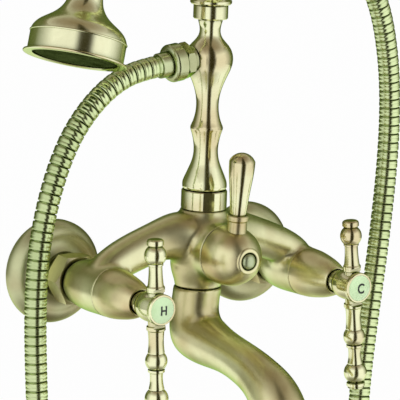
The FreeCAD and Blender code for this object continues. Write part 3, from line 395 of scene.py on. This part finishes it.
# The casting flows from the vessel into both arms and their bosses, with no hard corner between them.
casting = {
    "node": "body_casting", "piece": "bodyCasting", "body": "mixer",
    "voxel": 0.9,                 # how fine the new mesh is
    "fillPasses": 150,            # how far the hollow corners are filled
    "evenPasses": 6,              # how far what stands out is then rounded
    "keep": 2.0,                  # this much beside a mating end is left as it is
    "vesselLow": -5.3, "vesselHigh": 45.3, "knobBack": -86.0,
    "armsFrom": 55.0, "bossBack": -36.5, "bossFront": -74.0,
}
# The spout's upright collar runs into the bend without a crease.
spoutBend = {
    "node": "spout_tube", "piece": "spoutBend", "body": "spout",
    "voxel": 0.9, "fillPasses": 110, "evenPasses": 10,
    "top": -9.0, "tip": -78.0,
}
# The column's bead is a soft ridge.
columnTurning = {
    "node": "riser_column", "piece": "columnTurning", "body": "mixer",
    "voxel": 0.7, "fillPasses": 0, "evenPasses": 14,
    "low": 61.0, "high": 164.0, "outletFrom": -10.0,
}


def freeOnCasting(c, x, y, z):
    keep = c["keep"]
    if z < c["vesselLow"] + keep or z > c["vesselHigh"] - keep or y < c["knobBack"] + keep:
        return False
    return abs(x) < c["armsFrom"] or c["bossFront"] + keep < y < c["bossBack"] - keep


def freeOnSpout(c, x, y, z):
    return c["tip"] < z < c["top"]


def freeOnColumn(c, x, y, z):
    return c["low"] < z < c["high"] and x > c["outletFrom"]


def smooth(bm, verts, passes):
    for _ in range(passes):
        bmesh.ops.smooth_vert(bm, verts=verts, factor=0.5, use_axis_x=True, use_axis_y=True, use_axis_z=True)


def makeFlowing(c, free, finish):
    # the solid's skin as an even mesh, which is smoothed where free allows it
    bm = bmesh.new()
    bm.from_mesh(nodes[c["node"]].data)
    bmesh.ops.remove_doubles(bm, verts=bm.verts, dist=weld)
    rough = addPiece("roughForm", bm)
    remesh = rough.modifiers.new("evenGrid", "REMESH")
    remesh.mode = "VOXEL"
    remesh.voxel_size = c["voxel"] * mm
    bpy.context.view_layer.update()
    graph = bpy.context.evaluated_depsgraph_get()
    even = bpy.data.meshes.new_from_object(rough.evaluated_get(graph), depsgraph=graph)
    bpy.data.objects.remove(rough)
    bm = bmesh.new()
    bm.from_mesh(even)
    bpy.data.meshes.remove(even)
    loose = [v for v in bm.verts if free(c, *(v.co / mm))]
    before = {v: (v.co.copy(), v.normal.copy()) for v in loose}
    smooth(bm, loose, c["fillPasses"])
    for v in loose:    # corners are filled, and nothing is worn away
        at, normal = before[v]
        v.co = at + normal * max(0.0, (v.co - at).dot(normal))
    smooth(bm, loose, c["evenPasses"])
    piece = addPiece(c["piece"], bm)
    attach(piece, c["body"])
    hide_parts(c["node"])
    piece.data.materials.append(finish)
    print(c["piece"], "smoothed,", len(piece.data.polygons), "faces")


# These nodes have a finish of their own, and the others have their slot's.
ownFinishes = (
    (satinBrass, ("hot_bonnet", "cold_bonnet", "diverter_knob", "diverter_collar", "hot_union_nut",
                  "cold_union_nut")),
    (shadedFittingBrass, ("hose_outlet_nut", "hose_outlet_fitting", "hose_outlet_ferrule")),
    (shadedRoseBrass, ("hot_rose", "cold_rose")),
    (bellBrass, ("handset_bell",)),
)


def dressNodes():
    for part in frame["record"]["subparts"]:
        solid = nodes[part["node"]].data
        solid.materials.clear()
        solid.materials.append(finishes[part["material_slot"]])
    for finish, names in ownFinishes:
        for name in names:
            nodes[name].data.materials[0] = finish


dressNodes()
makeFlowing(casting, freeOnCasting, castBrass)
makeFlowing(spoutBend, freeOnSpout, castBrass)
makeFlowing(columnTurning, freeOnColumn, finishes["antique_brass"])
print("finishes set")

# A plain mark on each button tells hot from cold.
marks = {
    # name: letter, size, place across, body
    "hotMark": ("H", 7.9, -75.0, "hot_handle"),
    "coldMark": ("C", 8.9, 75.0, "cold_handle"),
}
markShape = {"narrow": 0.86, "heavier": 0.16, "front": -131.12, "thickness": 0.5, "sharpAngle": 30}


def makeMark(name, letter, size, across, body):
    text = bpy.data.curves.new(name, "FONT")
    text.body = letter
    text.size = size * mm
    text.align_x, text.align_y = "CENTER", "CENTER"
    text.extrude = markShape["thickness"] / 2 * mm
    text.offset = markShape["heavier"] * mm
    word = bpy.data.objects.new(name + "Text", text)
    bpy.context.collection.objects.link(word)
    bpy.context.view_layer.update()
    mesh = bpy.data.meshes.new_from_object(word)
    bpy.data.objects.remove(word)
    bm = bmesh.new()
    bm.from_mesh(mesh)
    bpy.data.meshes.remove(mesh)
    bmesh.ops.remove_doubles(bm, verts=bm.verts, dist=weld)
    low = Vector([min(v.co[k] for v in bm.verts) for k in range(3)])
    high = Vector([max(v.co[k] for v in bm.verts) for k in range(3)])
    bmesh.ops.translate(bm, verts=bm.verts, vec=-(low + high) / 2)
    bmesh.ops.scale(bm, verts=bm.verts, vec=(markShape["narrow"], 1, 1))
    bmesh.ops.rotate(bm, verts=bm.verts, matrix=Matrix.Rotation(math.pi / 2, 3, "X"))
    middle = markShape["front"] + markShape["thickness"] / 2
    bmesh.ops.translate(bm, verts=bm.verts, vec=(across * mm, middle * mm, 0))
    piece = addPiece(name, bm, markShape["sharpAngle"])
    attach(piece, body)
    piece.data.materials.append(finishes["seal_rubber"])


for name, mark in marks.items():
    makeMark(name, *mark)
print("marks made")

# The diverter's front cap is a small dome in a groove with painted shade, and its rim runs on into the
# knob's nose.
cap = {
    "front": -113.0, "height": 20.5,
    # radius and how far it stands in front of the knob's face, from the rim's back to the middle
    "line": [(8.75, -1.15), (8.45, -0.72), (8.1, -0.32), (7.6, 0.0), (7.0, 0.12), (6.1, 0.08),
             (5.75, -0.15), (5.6, -0.9), (5.1, -0.9), (4.95, -0.3), (4.5, 0.5), (3.7, 1.2),
             (2.6, 1.75), (1.3, 2.05), (0.0, 2.15)],
    "groove": (5.05, 5.8),        # the radii between which shade is painted
    "grooveTop": -0.2,            # and how far forward it reaches
    "steps": 56, "sharpAngle": 50,
}


def makeCap(c):
    bm = bmesh.new()
    sootLayer = bm.verts.layers.float.new("soot")
    line = [bm.verts.new((radius * mm, -out * mm, 0)) for radius, out in c["line"]]
    edges = [bm.edges.new(pair) for pair in zip(line, line[1:])]
    bmesh.ops.spin(bm, geom=line + edges, cent=(0, 0, 0), axis=(0, 1, 0), use_merge=True,
                   angle=2 * math.pi, steps=c["steps"])
    bmesh.ops.remove_doubles(bm, verts=bm.verts, dist=weld)
    low, high = (radius * mm for radius in c["groove"])
    # painted shade in the groove round the dome
    for v in bm.verts:
        inGroove = low < math.hypot(v.co.x, v.co.z) < high and -v.co.y < c["grooveTop"] * mm
        v[sootLayer] = 1.0 if inGroove else 0.0
    bmesh.ops.translate(bm, verts=bm.verts, vec=(0, c["front"] * mm, c["height"] * mm))
    bmesh.ops.recalc_face_normals(bm, faces=bm.faces)
    piece = addPiece("capDome", bm, c["sharpAngle"])
    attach(piece, "diverter")
    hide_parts("diverter_cap")
    piece.data.materials.append(makeBrass("greenCapBrass", roughness=(0.34, 0.40), pale=(0.60, 0.68, 0.42),
                                          tan=(0.50, 0.57, 0.33), soot=True))
    piece.data.materials.append(satinBrass)
    for face in piece.data.polygons:
        place = face.center - Vector((0, 0, c["height"] * mm))
        if math.hypot(place.x, place.z) > high:    # the rim is part of the knob's nose
            face.material_index = 1


makeCap(cap)
print("cap made")

# The studio is a white room with a pale floor, three lamps, and cloths that only gloss sees.
studio = {
    "middle": (0, -0.08, 0),
    "surround": 0.55,             # how strongly the white room lights the object
    "floorHeight": -0.470,        # just under the lowest bend of the hose
    "floorHalf": 8.0,
    "floorTones": ((0.90, 0.90, 0.89), (0.92, 0.92, 0.91)),
    "floorGrain": (40.0, 3.0),    # scale and detail
    "floorRoughness": 0.6,
    "floorGlow": 0.97,            # how much of the floor's white is its own, and not lit
    # name: place, width, height, power
    "lamps": {
        "leftBox": ((-1.9, -0.7, 0.5), 0.8, 1.8, 10),
        "rightBox": ((1.0, -2.0, 0.6), 0.8, 1.8, 10),
        "topBox": ((-0.3, -0.5, 2.0), 1.4, 1.0, 8),
    },
    "lampsAimAt": (0, -0.08, 0.05),
    # The cloths are swept round the object. Directions are degrees round from straight ahead to the
    # hot side, and the lens is at 35. The line gives distances and heights.
    "cloths": {
        "lensCloth": {
            "from": -6, "to": 44, "colour": (0.035, 0.030, 0.010),
            "line": [(0.12, -0.46), (0.9, -0.46), (0.9, 1.48), (0.05, 1.48)],
        },
        "backCloth": {
            "from": 96, "to": 312, "colour": (0.13, 0.145, 0.06),
            "line": [(1.9, -0.46), (1.9, 1.7)],
        },
        "ceilingCloth": {
            "from": 0, "to": 360, "colour": (0.23, 0.17, 0.105),
            "line": [(0.0, 1.5), (0.8, 1.5), (1.4, 1.45), (1.9, 1.35), (2.3, 1.2)],
        },
        "underCloth": {
            "from": 0, "to": 360, "colour": (0.14, 0.13, 0.06),
            "line": [(0.0, -0.455), (0.3, -0.455), (0.6, -0.455)],
        },
    },
    "clothSteps": 24,
    "clothEdge": 0.25,            # the share of the sweep over which a cloth fades at each open end
    "clothShades": (0.85, 1.15),
    "clothWeave": (6.0, 2.0),     # scale and detail
}


def seenDirectly(tree):
    # 1 for what the camera, gloss and glass see, 0 for the light that falls on surfaces
    rays = tree.nodes.new("ShaderNodeLightPath")
    total = rays.outputs["Is Camera Ray"]
    for kind in ("Is Glossy Ray", "Is Transmission Ray"):
        either = tree.nodes.new("ShaderNodeMath")
        either.operation = "MAXIMUM"
        tree.links.new(total, either.inputs[0])
        tree.links.new(rays.outputs[kind], either.inputs[1])
        total = either.outputs[0]
    return total


def blendShaders(tree, share, first, second):
    blend = tree.nodes.new("ShaderNodeMixShader")
    tree.links.new(share, blend.inputs["Fac"])
    tree.links.new(first, blend.inputs[1])
    tree.links.new(second, blend.inputs[2])
    tree.links.new(blend.outputs["Shader"], tree.nodes["Material Output"].inputs["Surface"])


def setRoom(s):
    world = bpy.data.worlds.new("whiteRoom")
    bpy.context.scene.world = world
    world.use_nodes = True
    tree = world.node_tree
    room = tree.nodes["Background"]
    room.inputs["Color"].default_value = (1, 1, 1, 1)
    tree.links.new(mapRange(tree, seenDirectly(tree), s["surround"], 1.0), room.inputs["Strength"])


def makeFloor(s):
    bm = bmesh.new()
    bmesh.ops.create_grid(bm, x_segments=1, y_segments=1, size=s["floorHalf"])
    bmesh.ops.translate(bm, verts=bm.verts, vec=(0, 0, s["floorHeight"]))
    floor = addPiece("paleFloor", bm)
    paint, tree, shader = newMaterial("paleFloorPaint")
    dark, light = s["floorTones"]
    grain = colourRamp(tree, objectNoise(tree, *s["floorGrain"]), (0.4, dark), (0.6, light))
    tree.links.new(grain, shader.inputs["Base Color"])
    shader.inputs["Roughness"].default_value = s["floorRoughness"]
    glow = tree.nodes.new("ShaderNodeEmission")
    share = mapRange(tree, seenDirectly(tree), 0.0, s["floorGlow"])
    blendShaders(tree, share, shader.outputs["BSDF"], glow.outputs["Emission"])
    floor.data.materials.append(paint)


def placeLamps(s):
    for name, (place, width, height, power) in s["lamps"].items():
        light = bpy.data.lights.new(name, "AREA")
        light.shape = "RECTANGLE"
        light.size, light.size_y, light.energy = width, height, power
        lamp = bpy.data.objects.new(name, light)
        lamp.location = place
        aim = Vector(s["lampsAimAt"]) - Vector(place)
        lamp.rotation_euler = aim.to_track_quat("-Z", "Y").to_euler()
        lamp.visible_glossy = False
        bpy.context.collection.objects.link(lamp)


def hangCloth(name, c, s):
    bm = bmesh.new()
    sweep = c["to"] - c["from"]
    whole = sweep == 360
    turn = math.radians(c["from"])
    way = Vector((-math.sin(turn), -math.cos(turn), 0))
    line = [bm.verts.new(way * distance + Vector((0, 0, height))) for distance, height in c["line"]]
    edges = [bm.edges.new(pair) for pair in zip(line, line[1:])]
    bmesh.ops.spin(bm, geom=line + edges, cent=(0, 0, 0), axis=(0, 0, -1), use_merge=whole,
                   angle=math.radians(sweep), steps=s["clothSteps"])
    bmesh.ops.remove_doubles(bm, verts=bm.verts, dist=0.1 * mm)
    fade = bm.verts.layers.float.new("fade")
    far = max(distance for distance, _ in c["line"])
    for v in bm.verts:    # the cloth thins out towards its open edges
        if whole:
            v[fade] = 1 - (v.co.xy.length / far) ** 2
        else:    # counted from the middle of the sweep, so no edge falls where the count turns over
            turned = math.degrees(math.atan2(-v.co.x, -v.co.y)) - c["from"] - sweep / 2
            fromMiddle = abs((turned + 180) % 360 - 180) / sweep
            v[fade] = min(1.0, (0.5 - fromMiddle) / s["clothEdge"])
    bmesh.ops.translate(bm, verts=bm.verts, vec=s["middle"])
    cloth = addPiece(name, bm)
    cloth.data.materials.append(makeWeave(name + "Weave", c["colour"], s))
    cloth.visible_camera = cloth.visible_diffuse = cloth.visible_shadow = cloth.visible_transmission = False


def makeWeave(name, colour, s):
    made, tree, _ = newMaterial(name)
    glow = tree.nodes.new("ShaderNodeEmission")
    dark, light = ([shade * c for c in colour] for shade in s["clothShades"])
    weave = colourRamp(tree, objectNoise(tree, *s["clothWeave"]), (0.3, dark), (0.7, light))
    tree.links.new(weave, glow.inputs["Color"])
    fade = tree.nodes.new("ShaderNodeAttribute")
    fade.attribute_name = "fade"
    clear = tree.nodes.new("ShaderNodeBsdfTransparent")
    blendShaders(tree, fade.outputs["Fac"], clear.outputs["BSDF"], glow.outputs["Emission"])
    return made


setRoom(studio)
makeFloor(studio)
placeLamps(studio)
for name, cloth in studio["cloths"].items():
    hangCloth(name, cloth, studio)
bpy.context.scene.view_settings.view_transform = "Standard"
print("studio set")
